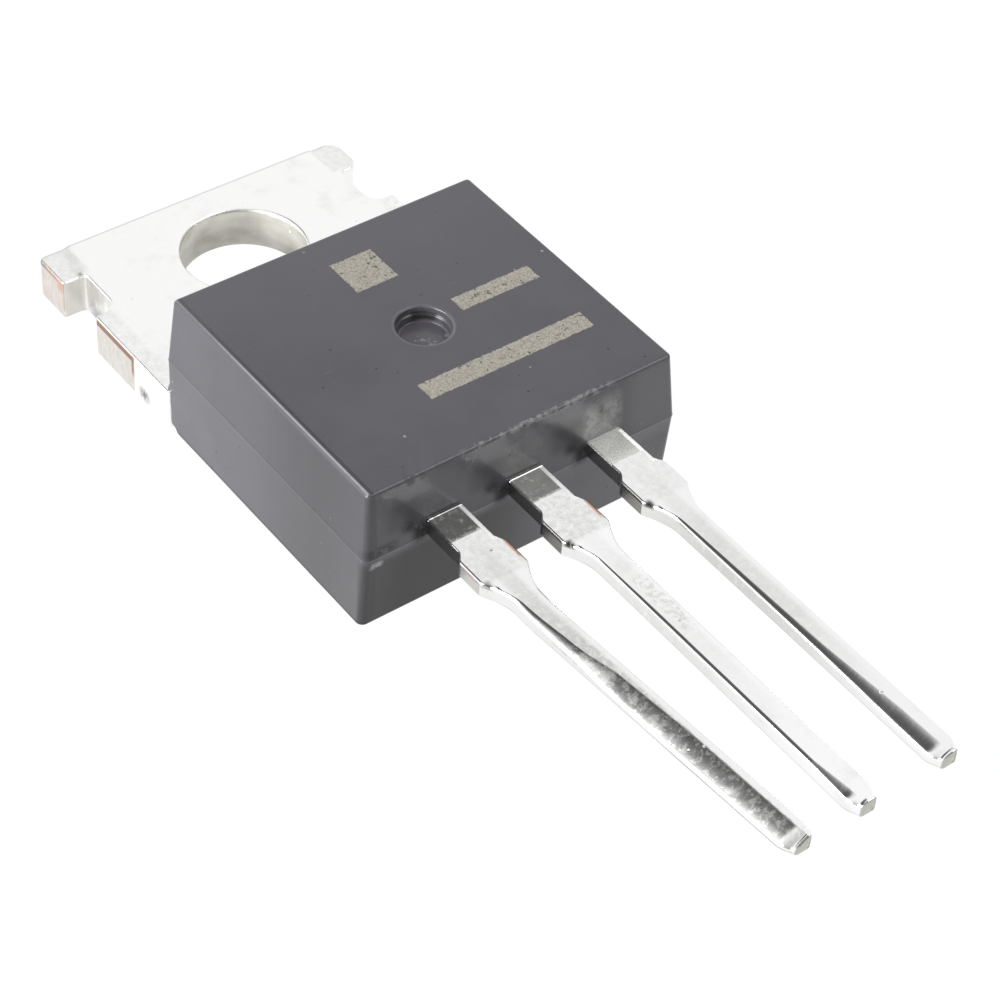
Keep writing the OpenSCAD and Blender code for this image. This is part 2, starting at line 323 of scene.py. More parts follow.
class Network:
    """The nodes of one material or world, with places read in millimetres."""

    def __init__(self, tree: bpy.types.NodeTree) -> None:
        """Empties the tree."""
        self.tree = tree
        tree.nodes.clear()

    @classmethod
    def of_material(cls, name: str) -> tuple["Network", bpy.types.Material]:
        """A new material and its network."""
        material = bpy.data.materials.new(name)
        material.use_nodes = True
        return cls(material.node_tree), material

    def node(self, kind: str, settings: dict[str, Any], sockets: dict[Any, Any]) -> bpy.types.Node:
        """Adds a node.

        Args:
            kind: Type of the node.
            settings: Its own settings, which are made first.
            sockets: Values, Value objects or sockets for its inputs, by name or place.

        Returns:
            The node.
        """
        made = self.tree.nodes.new(kind)
        for key, value in settings.items():
            setattr(made, key, value)
        for key, value in sockets.items():
            source = value.socket if isinstance(value, Value) else value
            if isinstance(source, bpy.types.NodeSocket):
                self.tree.links.new(source, made.inputs[key])
            else:
                made.inputs[key].default_value = source
        return made

    def value(self, kind: str, settings: dict[str, Any], sockets: dict[Any, Any]) -> Value:
        """Adds a node and wraps its first output."""
        return Value(self, self.node(kind, settings, sockets).outputs[0])

    def place(self, attribute: str = "") -> bpy.types.NodeSocket:
        """Object coordinates in millimetres, or a place that the mesh carries itself."""
        if attribute:
            return self.node("ShaderNodeAttribute", {"attribute_name": attribute}, {}).outputs["Vector"]
        there = self.node("ShaderNodeTexCoord", {}, {}).outputs["Object"]
        return self.node("ShaderNodeVectorMath", {"operation": "SCALE"}, {0: there, "Scale": 1.0 / MM}).outputs[0]

    def axes(self, place: bpy.types.NodeSocket) -> tuple[Value, Value, Value]:
        """The three coordinates of a place."""
        parts = self.node("ShaderNodeSeparateXYZ", {}, {0: place}).outputs
        return Value(self, parts[0]), Value(self, parts[1]), Value(self, parts[2])

    def stretched(self, place: bpy.types.NodeSocket, scale: tuple[float, float, float]) -> bpy.types.NodeSocket:
        """A place with its axes scaled, for a pattern that runs in one direction."""
        return self.node("ShaderNodeMapping", {}, {"Vector": place, "Scale": scale}).outputs[0]

    def noise(self, place: bpy.types.NodeSocket, scale: float, detail: float = 2.0, rough: float = 0.5) -> Value:
        """Fractal noise about 0.5, with scale in cells per millimetre."""
        sockets = {"Vector": place, "Scale": scale, "Detail": detail, "Roughness": rough}
        return self.value("ShaderNodeTexNoise", {}, sockets)

    def cells(self, place: bpy.types.NodeSocket, scale: float, feature: str = "F1") -> Value:
        """Distance to the nearest random point, in cells, or to the nearest cell edge."""
        return self.value("ShaderNodeTexVoronoi", {"feature": feature}, {"Vector": place, "Scale": scale})

    def tint(self, factor: Number, first: Any, second: Any) -> bpy.types.NodeSocket:
        """Blend of two colours."""
        settings = {"data_type": "RGBA", "clamp_factor": True}
        return self.node("ShaderNodeMix", settings, {0: factor, 6: first, 7: second}).outputs[2]

    def bump(self, height: Value, distance: float, strength: float = 1.0) -> bpy.types.NodeSocket:
        """Normal of a height, where a height of 1 stands for distance in millimetres."""
        sockets = {"Height": height, "Distance": distance * MM, "Strength": strength}
        return self.node("ShaderNodeBump", {}, sockets).outputs[0]

    def surface(self, sockets: dict[str, Any]) -> None:
        """Ends the network in one Principled shader with these sockets."""
        shader = self.node("ShaderNodeBsdfPrincipled", {}, sockets)
        self.node("ShaderNodeOutputMaterial", {}, {"Surface": shader.outputs[0]})


# Finishes


@dataclass(frozen=True)
class EtchedBar:
    """A plain bar that a laser has etched into the top, by its middle and size."""

    x: float
    y: float
    wide: float
    high: float

    def mask(self, x: Value, y: Value, wander: Value) -> Value:
        """One inside the bar, with an edge that wanders a little."""
        across = (abs(x - self.x) + wander).ease(self.wide / 2 + 0.015, self.wide / 2 - 0.015)
        return across * (abs(y - self.y) + wander).ease(self.high / 2 + 0.015, self.high / 2 - 0.015)


@dataclass(frozen=True)
class Patch:
    """A box of places whose finish differs, such as a cut face, a burr, a stain, or painted shade, highlight or
    reflection.
    """

    low: tuple[float, float, float]
    high: tuple[float, float, float]
    colour: Colour
    amount: float = 1.0
    rough: float = 0.0
    coat: float = 0.0
    soft: tuple[float, float, float] = (0.02, 0.02, 0.02)
    gaps: tuple[float, float] = (-1.0, -0.5)

    def mask(self, axes: tuple[Value, Value, Value], mottle: Value) -> Value:
        """One inside the box, broken up where the mottling is below the gaps' level."""
        sides = zip(axes, self.low, self.high, self.soft)
        parts = [v.between(a, b, soft) for v, a, b, soft in sides]
        mask = parts[0] * parts[1] * parts[2] * self.amount
        return mask * mottle.ease(*self.gaps) if self.gaps[1] > 0.0 else mask


@dataclass(frozen=True)
class Moulding:
    """Black moulding compound: fine spark-eroded grain, sparse filler specks, etched bars, painted light and shade."""

    colour: Colour = (0.050, 0.048, 0.0565, 1.0)
    speck: Colour = (0.20, 0.20, 0.20, 1.0)
    pit: Colour = (0.012, 0.012, 0.013, 1.0)
    etched: Colour = (0.27, 0.255, 0.215, 1.0)
    gloss: float = 0.34
    coat: float = 0.34
    top_z: float = 4.36
    rim: tuple[float, float, float] = (0.1, -8.3, 0.75)
    patches: tuple[Patch, ...] = ()
    bars: tuple[EtchedBar, ...] = (
        EtchedBar(0.06, -5.65, 1.3, 1.3),
        EtchedBar(2.55, -8.1, 2.5, 0.55),
        EtchedBar(1.2, -10.4, 5.2, 0.62),
    )

    def material(self) -> bpy.types.Material:
        """Builds the finish."""
        net, material = Network.of_material("moulding_compound")
        place = net.place()
        x, y, z = net.axes(place)
        grain = net.noise(place, 16.0, 4.0, 0.65)
        cloud = net.noise(place, 0.55, 3.0, 0.55)
        wander = (net.noise(place, 9.0, 2.0) - 0.5) * 0.09
        etch = self.bars[0].mask(x, y, wander)
        for bar in self.bars[1:]:
            etch = etch.either(bar.mask(x, y, wander))
        gaps = net.noise(place, 6.5, 3.0, 0.7).ease(0.30, 0.42)
        etch = etch * z.ease(self.top_z, self.top_z + 0.01) * gaps
        sparse = net.cells(place, 0.95).ease(0.050, 0.028)
        dark = net.cells(net.stretched(place, (1.0, 1.1, 0.9)), 1.6).ease(0.070, 0.040)
        hair = net.stretched(place, (0.5, 5.0, 2.0))
        scratch = net.noise(hair, 1.4, 1.0).between(0.497, 0.503, 0.002) * cloud.ease(0.5, 0.62)
        body = net.tint(cloud.ease(0.3, 0.7), self.colour, tuple(c * 0.86 for c in self.colour[:3]) + (1.0,))
        body = net.tint(sparse.either(scratch * 0.15), body, self.speck)
        body = net.tint(dark, body, self.pit)
        aside = x - self.rim[0]
        ahead = y - self.rim[1]
        radius = (aside * aside + ahead * ahead).math("POWER", aside * aside + ahead * ahead, 0.5)
        # A lighter ring round the rim of the ejector recess, broken by the clouds: a painted highlight.
        worn = radius.between(self.rim[2] + 0.01, self.rim[2] + 0.09, 0.025) * z.ease(self.top_z - 0.03, self.top_z)
        body = net.tint(worn * cloud.ease(0.3, 0.6) * 0.5, body, (0.12, 0.12, 0.125, 1.0))
        rough = self.gloss + (grain - 0.5) * 0.16 + (cloud - 0.5) * 0.08
        coat = (1.0 - etch) * self.coat
        broken = net.noise(place, 4.5, 4.0, 0.7)
        for patch in self.patches:
            mask = patch.mask((x, y, z), broken)
            body = net.tint(mask, body, patch.colour)
            rough = rough + mask * patch.rough
            coat = coat + mask * patch.coat
        tone = net.tint(net.noise(place, 24.0, 2.0).ease(0.35, 0.7), self.etched, (0.16, 0.15, 0.13, 1.0))
        height = grain * 0.55 + sparse * 1.2 - dark * 1.5 - etch * 1.6 + net.noise(place, 46.0, 1.0) * 0.3
        net.surface({
            "Base Color": net.tint(etch, body, tone),
            "Roughness": rough + etch * 0.35,
            "Specular IOR Level": 0.32,
            "Coat Weight": coat.either(0.0),
            "Coat Roughness": 0.11,
            "Coat IOR": 1.45,
            "Normal": net.bump(height, 0.006),
        })
        return material


@dataclass(frozen=True)
class Tin:
    """Tin plating over copper: mottled, with patches of other finish where it was worked, and of painted light and
    shade.
    """

    name: str
    colour: Colour
    shade: Colour
    rough: float
    wave: float
    mottle: float
    metallic: float = 1.0
    bore: float = 0.0
    place: str = ""
    folded: bool = False
    patches: tuple[Patch, ...] = ()

    def material(self) -> bpy.types.Material:
        """Builds the finish."""
        net, material = Network.of_material(self.name)
        place = net.place()
        axes = net.axes(net.place(self.place))
        cloud = net.noise(place, 1.1, 4.0, 0.6)
        fine = net.noise(place, 7.0, 4.0, 0.65)
        speck = net.cells(place, 1.4).ease(0.075, 0.045)
        colour = net.tint(cloud.ease(0.5, 0.72) * self.mottle + speck * 0.5, self.colour, self.shade)
        rough = self.rough + (fine - 0.5) * self.rough * 0.5 + speck * 0.2
        height = cloud * self.wave + fine * self.rough - speck * 0.4
        if self.bore:
            colour, rough = self.bored(net, place, axes, colour, rough)
        both = (abs(axes[0]), axes[1], axes[2]) if self.folded else axes
        broken = net.noise(net.stretched(place, (1.0, 1.0, 0.35)), 6.0, 3.0, 0.7)
        for patch in self.patches:
            mask = patch.mask(axes if patch.high[0] < 0.0 else both, broken)
            colour = net.tint(mask, colour, patch.colour)
            rough = rough + mask * patch.rough
        net.surface({
            "Base Color": colour,
            "Metallic": self.metallic,
            "Roughness": rough,
            "Normal": net.bump(height, 0.02),
        })
        return material

    def bored(
        self, net: Network, place: bpy.types.NodeSocket, axes: tuple[Value, Value, Value],
        colour: bpy.types.NodeSocket, rough: Value,
    ) -> tuple[bpy.types.NodeSocket, Value]:
        """Wall of the hole: duller and streaked where the punch drew it, and darker towards the back as painted shade.
        """
        x, y, z = axes
        radius = (x * x + y * y).math("POWER", x * x + y * y, 0.5)
        wall = radius.ease(self.bore + 0.06, self.bore + 0.02)
        streaks = net.noise(net.stretched(place, (3.0, 3.0, 0.35)), 2.2, 3.0, 0.6)
        smears = net.noise(net.stretched(place, (0.8, 0.8, 1.6)), 1.1, 2.0, 0.5)
        # Painted shade darkens the wall towards the back; streaks and smears vary it.
        shade_and_streaks = z.ease(1.25, 0.1) * 0.55 + streaks * 0.16 + (smears - 0.5) * 1.5 + 0.18
        tone = net.tint(shade_and_streaks, (0.72, 0.71, 0.65, 1.0), (0.36, 0.35, 0.315, 1.0))
        return net.tint(wall, colour, tone), rough + wall * 0.12


@dataclass(frozen=True)
class InnerFinish:
    """Finish of a node that the moulding hides: brushed or mottled along one axis."""

    name: str
    colour: Colour
    shade: Colour
    metallic: float
    rough: float
    stretch: tuple[float, float, float] = (1.0, 1.0, 1.0)

    def material(self) -> bpy.types.Material:
        """Builds the finish."""
        net, material = Network.of_material(self.name)
        place = net.stretched(net.place(), self.stretch)
        fine = net.noise(place, 8.0, 4.0, 0.6)
        net.surface({
            "Base Color": net.tint(fine.ease(0.35, 0.7), self.colour, self.shade),
            "Metallic": self.metallic,
            "Roughness": self.rough + (fine - 0.5) * 0.15,
            "Normal": net.bump(fine, 0.006),
        })
        return material


# Pieces


def cad_box(node: str) -> tuple[Array, Array]:
    """Lowest and highest corner of a CAD node, in millimetres."""
    low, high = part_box(node)
    return np.array(low) / MM, np.array(high) / MM


@dataclass
class MouldedBody:
    """The black moulding: drafted both ways, with flash, worn edges and ejector recess."""

    draft_above: float = 5.0
    draft_front: float = 6.5
    draft_rear: float = 3.0
    draft_below: float = 3.0
    draft_side: float = 0.3
    corner_top: float = 0.13
    corner_back: float = 0.2
    top_round: float = 0.11
    back_round: float = 0.03
    flash: float = 0.006
    mark_r: float = 0.75
    mark_depth: float = 0.45
    mark_at: tuple[float, float] = (0.1, -8.3)
    mouth_x: float = 3.8
    mouth_front: float = -10.9
    mouth_depth: float = 0.6
    straight_steps: int = 120
    corner_steps: int = 10
    half_w: float = field(init=False)
    front: float = field(init=False)
    rear: float = field(init=False)
    top: float = field(init=False)
    parting: float = field(init=False)
    tab_half: float = field(init=False)

    def __post_init__(self) -> None:
        """Reads the body's reach from the frame."""
        low, high = cad_box("moulded_body")
        self.half_w, self.front, self.rear, self.top = high[0], low[1], high[1], high[2]
        self.parting = cad_box("output_lead")[0][2]
        self.tab_half = cad_box("tab_lead_frame")[1][0]

    def outline(self, side_in: float, rear_in: float, front_in: float, r: float) -> Array:
        """Rounded rectangle, counter-clockwise from the middle of the front corner.

        Each side is cut evenly and each corner is an arc of even turns, so that every
        outline has the same points in the same order.

        Args:
            side_in: Inset of the sides from the widest outline.
            rear_in: Inset of the end towards the hole.
            front_in: Inset of the end with the leads.
            r: Corner radius.

        Returns:
            Points (n, 2).
        """
        x = self.half_w - side_in
        low, high = self.front + front_in, self.rear - rear_in
        s = (np.arange(self.straight_steps) + 0.5) / self.straight_steps
        s = 0.5 - 0.5 * np.sign(0.5 - s) * np.abs(1 - 2 * s) ** 0.92
        turn = np.linspace(0.0, math.pi / 2, self.corner_steps)
        arc = np.column_stack([np.cos(turn), np.sin(turn)])
        spin = np.array([[0.0, 1.0], [-1.0, 0.0]])
        centres = np.array([[x - r, low + r], [x - r, high - r], [-x + r, high - r], [-x + r, low + r]])
        arcs = [centres[k] + r * arc @ np.linalg.matrix_power(spin, (k + 3) % 4) for k in range(4)]
        parts = []
        for k in range(4):
            first, last = arcs[k][-1], arcs[(k + 1) % 4][0]
            parts += [arcs[k], first + (last - first) * s[:, None]]
        return np.vstack(parts)

    def wall(self, z: float, out: float = 0.0) -> Array:
        """Outline of the drafted walls at a height, moved outwards by out."""
        rise = abs(z - self.parting)
        if z >= self.parting:
            drafts = (self.draft_above, self.draft_rear, self.draft_front)
            blend = 0.5 + 0.5 * rise / (self.top - self.parting)
        else:
            drafts = (self.draft_side, self.draft_side, self.draft_below)
            blend = 0.5 - 0.5 * rise / self.parting
        side, rear, front = (self.flash - out + rise * math.tan(math.radians(d)) for d in drafts)
        r = self.corner_top * blend + self.corner_back * (1 - blend) + min(out, 0.0)
        return self.outline(side, rear, front, max(r, 0.02))

    def mouth(self) -> Array:
        """Rectangle through which the pad shows at the back, with the outline's own points."""
        loop = self.wall(0.0)
        low = np.array([-self.mouth_x, self.mouth_front])
        high = np.array([self.mouth_x, self.rear])
        return np.clip(loop, low, high)

    def worn(self, rings: Array) -> Array:
        """Walls and edges with the small faults of moulding and handling.

        The front top edge is nibbled: a random field along it, cut off below a level,
        pulls the edge in and down. The walls ripple by a few thousandths, and small
        lumps of flash stand on the rear corner.

        Args:
            rings: Points (r, n, 3).

        Returns:
            The moved points.
        """
        x, y, z = rings[..., 0], rings[..., 1], rings[..., 2]
        edge = ease(z, self.top - 0.22, self.top - 0.06) * ease(y, self.front + 0.75, self.front + 0.3)
        edge *= ease(self.half_w - np.abs(x), 0.2, 0.5)
        line = np.stack([x, np.zeros_like(x), np.zeros_like(x)], axis=-1)
        bite = np.clip(rough_field(line, 0.22, 5) - 0.1, 0.0, 1.0) * ease(rough_field(line, 1.1, 8), -0.2, 0.5)
        rings = rings.copy()
        rings[..., 1] += edge * bite * 0.05
        rings[..., 2] -= edge * bite * 0.05 * ease(y, self.front + 0.6, self.front + 0.32)
        ripple = rough_field(rings, 0.9, 11) * 0.004
        inward = 1.0 - ease(z, self.top - 0.05, self.top - 0.02)
        rings[..., 0] -= np.sign(x) * np.abs(ripple) * inward
        lump = band(z, 0.85, 1.4, 0.08) * ease(y, self.rear - 0.5, self.rear - 0.15) * ease(-x, 4.3, 4.75)
        rings[..., 1] += lump * (0.5 + 0.5 * rough_field(rings, 0.18, 3)) * 0.22
        return rings

    def build(self, finish: Moulding) -> bpy.types.Object:
        """Makes the body's one closed skin.

        Rings run from the pocket under the body, over the back edge, up the walls with
        the flash at the parting line, round the top edge and over the top face into the
        ejector recess. The top face runs straight from the edge to the recess, point
        for point at the same angle about the recess.

        Args:
            finish: Finish of the moulding.

        Returns:
            The object.
        """
        mouth = self.mouth()
        base = self.wall(0.0)
        at_rear = ease(base[:, 1], self.rear - 0.5, self.rear - 0.3) * ease(self.tab_half - np.abs(base[:, 0]), 0.02, 0.12)
        lift = 0.3 * at_rear
        rings = [ring(mouth, self.mouth_depth), ring(mouth, 0.02 + lift), ring(mouth, 0.0 + lift)]
        r = self.back_round
        for a in np.radians([0.0, 30.0, 60.0, 90.0]):
            level = r - r * math.cos(a)
            rings.append(ring(self.wall(level, r * math.sin(a) - r), level + lift))
        for z in np.linspace(r + 0.05, self.parting - 0.06, 22):
            rings.append(ring(self.wall(z), np.maximum(z, r + lift)))
        for dz, out in ((-0.03, 0.2), (-0.012, 0.85), (0.0, 1.0), (0.012, 0.8), (0.03, 0.15)):
            rings.append(ring(self.wall(self.parting + dz, self.flash * out), self.parting + dz))
        r = self.top_round
        for z in np.linspace(self.parting + 0.06, self.top - r - 0.04, 18):
            rings.append(ring(self.wall(z), z))
        for a in np.radians(np.linspace(0.0, 90.0, 8)):
            level = self.top - r + r * math.sin(a)
            rings.append(ring(self.wall(self.top - r, r * math.cos(a) - r), level))
        edge = rings[-1]
        centre = np.array(self.mark_at)
        away = edge[:, :2] - centre
        away /= np.linalg.norm(away, axis=1, keepdims=True)
        rim = ring(centre + away * (self.mark_r + 0.12), self.top)
        for s in (0.012, 0.03, 0.1, 0.3, 0.6, 0.85, 0.97, 1.0):
            rings.append(edge + (rim - edge) * s)
        for dr, dz in ((0.085, 0.004), (0.05, 0.0), (0.02, -0.012), (0.004, -0.035), (0.0, -0.07)):
            rings.append(ring(centre + away * (self.mark_r + dr), self.top + min(dz, 0.0)))
        for drop, ledge in ((0.2, 0.0), (0.215, 0.012), (0.235, 0.045), (0.27, 0.055), (0.36, 0.055), (0.43, 0.065)):
            rings.append(ring(centre + away * (self.mark_r - ledge), self.top - drop))
        for shrink in (0.89, 0.82, 0.6, 0.3, 0.05):
            rings.append(ring(centre + away * self.mark_r * shrink, self.top - self.mark_depth))
        shell = skin(self.worn(np.stack(rings)))
        return add_piece("moulded_case", [shell], finish.material(), "moulded_body")


@dataclass
class TabPlate:
    """The tab with its ears, notches and hole, and the pad that the moulding grips."""

    thick: float = 1.3
    ear_len: float = 1.35
    notch_len: float = 1.7
    notch_depth: float = 0.7
    notch_r: float = 0.45
    ear_r: float = 0.15
    end_r: float = 0.16
    right_r: float = 0.4
    edge_r: float = 0.1
    roll: float = 0.055
    hole_r: float = 1.8
    hole_roll: float = 0.1
    pad_half: float = 3.8
    pad_front: float = -10.9
    neck_y: float = -3.95
    end: float = field(init=False)
    half: float = field(init=False)

    def __post_init__(self) -> None:
        """Reads the tab's reach from the frame."""
        high = cad_box("tab_lead_frame")[1]
        self.half, self.end = high[0], high[1]

    def outline(self) -> Array:
        """Edge of the plate: its straight corner points, mirrored, each with its own radius."""
        floor = self.half - self.notch_depth
        ear = self.end - self.ear_len
        step = ear - self.notch_len
        right = np.array([
            [self.pad_half, self.pad_front, 0.1], [self.pad_half, self.neck_y, 0.1],
            [self.half, self.neck_y, 0.1], [self.half, step, self.edge_r],
            [floor, step, self.notch_r], [floor, ear, self.ear_r],
            [self.half, ear, self.edge_r], [self.half, self.end, self.end_r],
        ])
        left = right[::-1] * [-1.0, 1.0, 1.0]
        right[-2:, 2] = self.right_r
        corners = np.vstack([right, left])
        return filleted(corners[:, :2], corners[:, 2], 0.09)

    def relief(self, points: Array) -> Array:
        """Top face as the press leaves it: the ears coined down and the sheet gently wavy."""
        x, y, z = points[:, 0], points[:, 1], points[:, 2]
        near_top = ease(z, self.thick * 0.6, self.thick - 0.05)
        coined = ease(np.abs(x) + 0.22 * (y - self.end), self.half - 0.95, self.half - 0.78)
        coined *= ease(y, self.end - self.ear_len - 0.3, self.end - self.ear_len - 0.1)
        waves = rough_field(points * [1.0, 1.0, 0.0], 1.6, 21) * 0.006
        z_new = z - near_top * (0.05 * coined + 0.008 + waves)
        return np.column_stack([x, y, z_new])

    def build(self, finish: Tin) -> bpy.types.Object:
        """Makes the plate: rings up its edge and its hole, closed by two triangulated sheets.

        Args:
            finish: Finish of the tab.

        Returns:
            The object.
        """
        loop = self.outline()
        turn = np.linspace(0.0, 2 * math.pi, 145)[:-1]
        circle = np.column_stack([np.cos(turn), np.sin(turn)])
        a = np.radians(np.linspace(0.0, 90.0, 6))[:, None]
        heights = np.linspace(0.1, self.thick - self.roll - 0.04, 9)[:, None]
        low = np.hstack([0.03 * (1 - np.sin(a)), 0.03 * (1 - np.cos(a))])
        high = np.hstack([self.roll * (1 - np.cos(a)), self.thick - self.roll * (1 - np.sin(a))])
        edge = np.vstack([low, np.hstack([heights * 0.0, heights]), high])
        outer = np.stack([ring(inset(loop, d), z) for d, z in edge])
        high = np.hstack([self.hole_roll * (1 - np.cos(a)), self.thick - self.hole_roll * (1 - np.sin(a))])
        bore = np.vstack([low, np.hstack([heights * 0.0, np.minimum(heights, self.thick - 0.14)]), high])
        inner = np.stack([ring(circle * (self.hole_r + d), z) for d, z in bore])
        shells = [skin(outer, (False, False)), skin(inner[::-1], (False, False))]
        for row, z, flip in ((0, 0.0, True), (-1, self.thick, False)):
            flat, faces = cap(outer[row][:, :2], inner[row][:, :2], 0.14, 0.07)
            shells.append((ring(flat, z), (faces[:, ::-1] if flip else faces).tolist()))
        shells = [(self.relief(v), f) for v, f in shells]
        piece = add_piece("tab_plate", shells, finish.material(), "tab_lead_frame")
        merge_doubles(piece)
        return piece


def corner_run(
    flatness: Array, width: Union[float, Array], tilts: tuple[float, float], lip: float = 0.06, steps: int = 14,
) -> tuple[Array, Array]:
    """Profile of an edge from the face to the side, with a run across of one.

    Its tilt turns evenly from 0 to 90 degrees on a round edge. A flattened one is a
    slope between two tilts, with a small round lip at its outer end. The run across and
    the fall are the sums of the tilt's cosines and sines, scaled to a run of one.

    Args:
        flatness: From 0, round, to 1, flattened, one for each station (s, 1).
        width: Width of the edge, one number or one for each station (s, 1).
        tilts: Tilts in degrees at the inner and the outer end of the slope.
        lip: Width of the lip.
        steps: Points of the profile.

    Returns:
        Runs across and falls, each (s, steps).
    """
    s = np.linspace(0.0, 1.0, 2 * steps - 1)[1::2][None]
    share = np.clip(lip / width, 0.05, 0.8)
    turned = 0.87 * share / (0.45 * (1.0 - share) + 0.87 * share)
    slope = np.interp(np.minimum(s / (1.0 - turned), 1.0), [0.0, 0.12, 1.0], [0.0, *tilts])
    flattened = slope + (90.0 - tilts[1]) * np.clip(1.0 - (1.0 - s) / turned, 0.0, 1.0)
    tilt = np.radians(90.0 * s * (1.0 - flatness) + flattened * flatness)
    start = np.zeros((len(flatness), 1))
    across = np.hstack([start, np.cumsum(np.cos(tilt), axis=1)])
    down = np.hstack([start, np.cumsum(np.sin(tilt), axis=1)])
    return across / across[:, -1:], down / across[:, -1:]


def merge_doubles(piece: bpy.types.Object) -> None:
    """Joins the points that the shells of one piece share."""
    import bmesh

    work = bmesh.new()
    work.from_mesh(piece.data)
    bmesh.ops.remove_doubles(work, verts=work.verts, dist=1e-7)
    work.to_mesh(piece.data)
    work.free()


@dataclass
class Lead:
    """A flat tinned lead, as a rounded section carried along Y from its root to its tip."""

    name: str
    node: str
    x: float
    lean: float = 0.0
    post: float = 0.0
    climbs: bool = False
    edge: tuple[tuple[float, float], ...] = ((3.0, 0.07), (4.0, 0.09), (5.5, 0.12), (11.2, 0.13), (12.3, 0.28))
    tilts: tuple[float, float] = (17.0, 30.0)
    flat_from: float = 2.9
    flat_run: float = 0.6
    dent: float = 0.0
    bead: float = 0.018
    seed: int = 1
    thick: float = 0.48
    root: float = 0.54
    dam: float = 0.735
    narrow: float = 0.39
    tip: float = 0.21
    front: float = field(init=False)
    low: float = field(init=False)
    tip_y: float = field(init=False)

    def __post_init__(self) -> None:
        """Reads the lead's place from the frame."""
        self.low = cad_box("output_lead")[0][2]
        self.tip_y = cad_box("output_lead")[0][1]
        self.front = cad_box("moulded_body")[0][1]

    def half_width(self, y: Array) -> Array:
        """Half of the width: post, root, dam bar stretch, concave taper, narrow part, tip."""
        dam_y, taper_y = self.front - 1.4, self.front - 2.45
        widths = np.where(y > dam_y, self.root, self.dam)
        rise = ease(y, dam_y + 0.12, dam_y - 0.22)
        widths = self.root + (self.dam - self.root) * rise
        t = np.clip((taper_y - y) / 0.95, 0.0, 1.0)
        widths = np.where(y < taper_y, self.narrow + (self.dam - self.narrow) * (1 - t) ** 1.7, widths)
        tip = ease(y, self.tip_y + 0.45, self.tip_y - 0.08)
        widths = widths + (self.tip - self.narrow) * tip
        if self.post:
            widths = np.where(y > self.front + 0.75, 1.05, widths)
        return widths

    def middle(self, y: Array) -> Array:
        """Sideways place of the middle line: straight, then leaning with a short bend."""
        bend_y = self.front - 3.75
        run = np.clip(bend_y - y, 0.0, None)
        slope = math.tan(math.radians(self.lean))
        bend = 0.6
        lean = np.where(run < bend, run * run / (2 * bend), run - bend / 2) * slope
        shift = self.post * ease(y, self.front + 0.7, self.front + 0.8)
        return self.x + lean + shift

    def top_height(self, y: Array) -> Array:
        """Height of the upper face; the middle lead climbs to it from the pad."""
        level = self.low + self.thick
        if not self.climbs:
            return np.full_like(y, level)
        return np.interp(y, [self.front + 0.7, self.front + 1.7], [level, 1.3])

    def section(self, y: Array) -> Array:
        """Rings of the lead: a rectangle with shaped corners, one ring for each y.

        The upper left corner runs down its own profile, which handling and the press
        have widened in places. The other three are round.

        Args:
            y: Stations (s,).

        Returns:
            Points (s, n, 3).
        """
        half = self.half_width(y)[:, None]
        top = self.top_height(y)[:, None]
        steep = 1.4 if self.climbs else 0.0
        thick = self.thick * (1 + steep * band(y, self.front + 0.75, self.front + 1.75, 0.1))[:, None]
        bottom = top - thick
        narrow = ease(y, self.front - 2.9, self.front - 3.6)[:, None]
        dam = ease(y, self.front - 1.3, self.front - 1.6)[:, None] - narrow
        away = self.front - y
        worn = ease(away, self.flat_from, self.flat_from + self.flat_run)[:, None]
        end = ease(y, self.tip_y + 0.12, self.tip_y - 0.05)[:, None]
        dimple = band(y, self.front - 2.85, self.front - 2.6, 0.09)[:, None]
        along = np.interp(away, *np.array(self.edge).T)[:, None]
        left = 0.045 + 0.03 * dam + 0.07 * dimple
        left = (left + (along - left) * narrow) * (1 - 0.6 * end)
        right = (0.045 + 0.05 * dam + 0.10 * narrow) * (1 - 0.6 * end)
        low = 0.04 + 0.03 * narrow
        flats = np.array([0.03, 0.2, 0.5, 0.8, 0.97])[None, :]
        across, down = corner_run(worn, left, self.tilts)
        round_across, round_down = corner_run(np.zeros_like(worn), 0.1, self.tilts)
        arcs = (
            (half - right + right * round_across, top - right * round_down, -1),
            (-(half - left + left * across), top - left * down, 1),
            (-(half - low + low * round_across), bottom + low * round_down, -1),
            (half - low + low * round_across, bottom + low * round_down, 1),
        )
        runs = [(px[:, ::way], pz[:, ::way]) for px, pz, way in arcs]
        xs, zs = [], []
        for k in range(4):
            (x0, z0), (x1, z1) = runs[k], runs[(k + 1) % 4]
            xs += [x0, x0[:, -1:] + (x1[:, :1] - x0[:, -1:]) * flats]
            zs += [z0, z0[:, -1:] + (z1[:, :1] - z0[:, -1:]) * flats]
        x = np.hstack(xs) + self.middle(y)[:, None]
        z = np.hstack(zs)
        points = np.stack([x, np.broadcast_to(y[:, None], x.shape), z], axis=-1)
        return self.dented(points)

    def dented(self, points: Array) -> Array:
        """Faces with faint waves, a bead of tin at the root, and dents on the worn edge."""
        y = points[..., 1]
        outside = ease(y, self.front - 1.2, self.front - 2.0)
        on_top = ease(points[..., 2], self.low + self.thick * 0.4, self.low + self.thick * 0.8)
        waves = rough_field(points * [0.7, 0.35, 0.7], 0.5, self.seed) * 0.003
        drawn = points * [1.0, 0.42, 1.0]
        dents = rough_field(drawn, 0.13, self.seed + 9) + 0.7 * rough_field(drawn, 0.06, self.seed + 19)
        away = self.front - y
        rubbed = ease(away, 4.4, 5.4) * (1 - 0.55 * ease(away, 7.6, 9.6))
        left = ease(self.middle(y) - points[..., 0], -0.12, 0.12)
        bead = self.bead * np.exp(np.clip(y - self.front, -1.0, 0.0) / 0.013)
        points = points.copy()
        points[..., 2] -= on_top * outside * (np.abs(waves) + self.dent * rubbed * left * (0.8 + 0.5 * dents))
        points[..., 2] += on_top * bead * np.where(y > self.front, 0.0, 1.0)
        return points

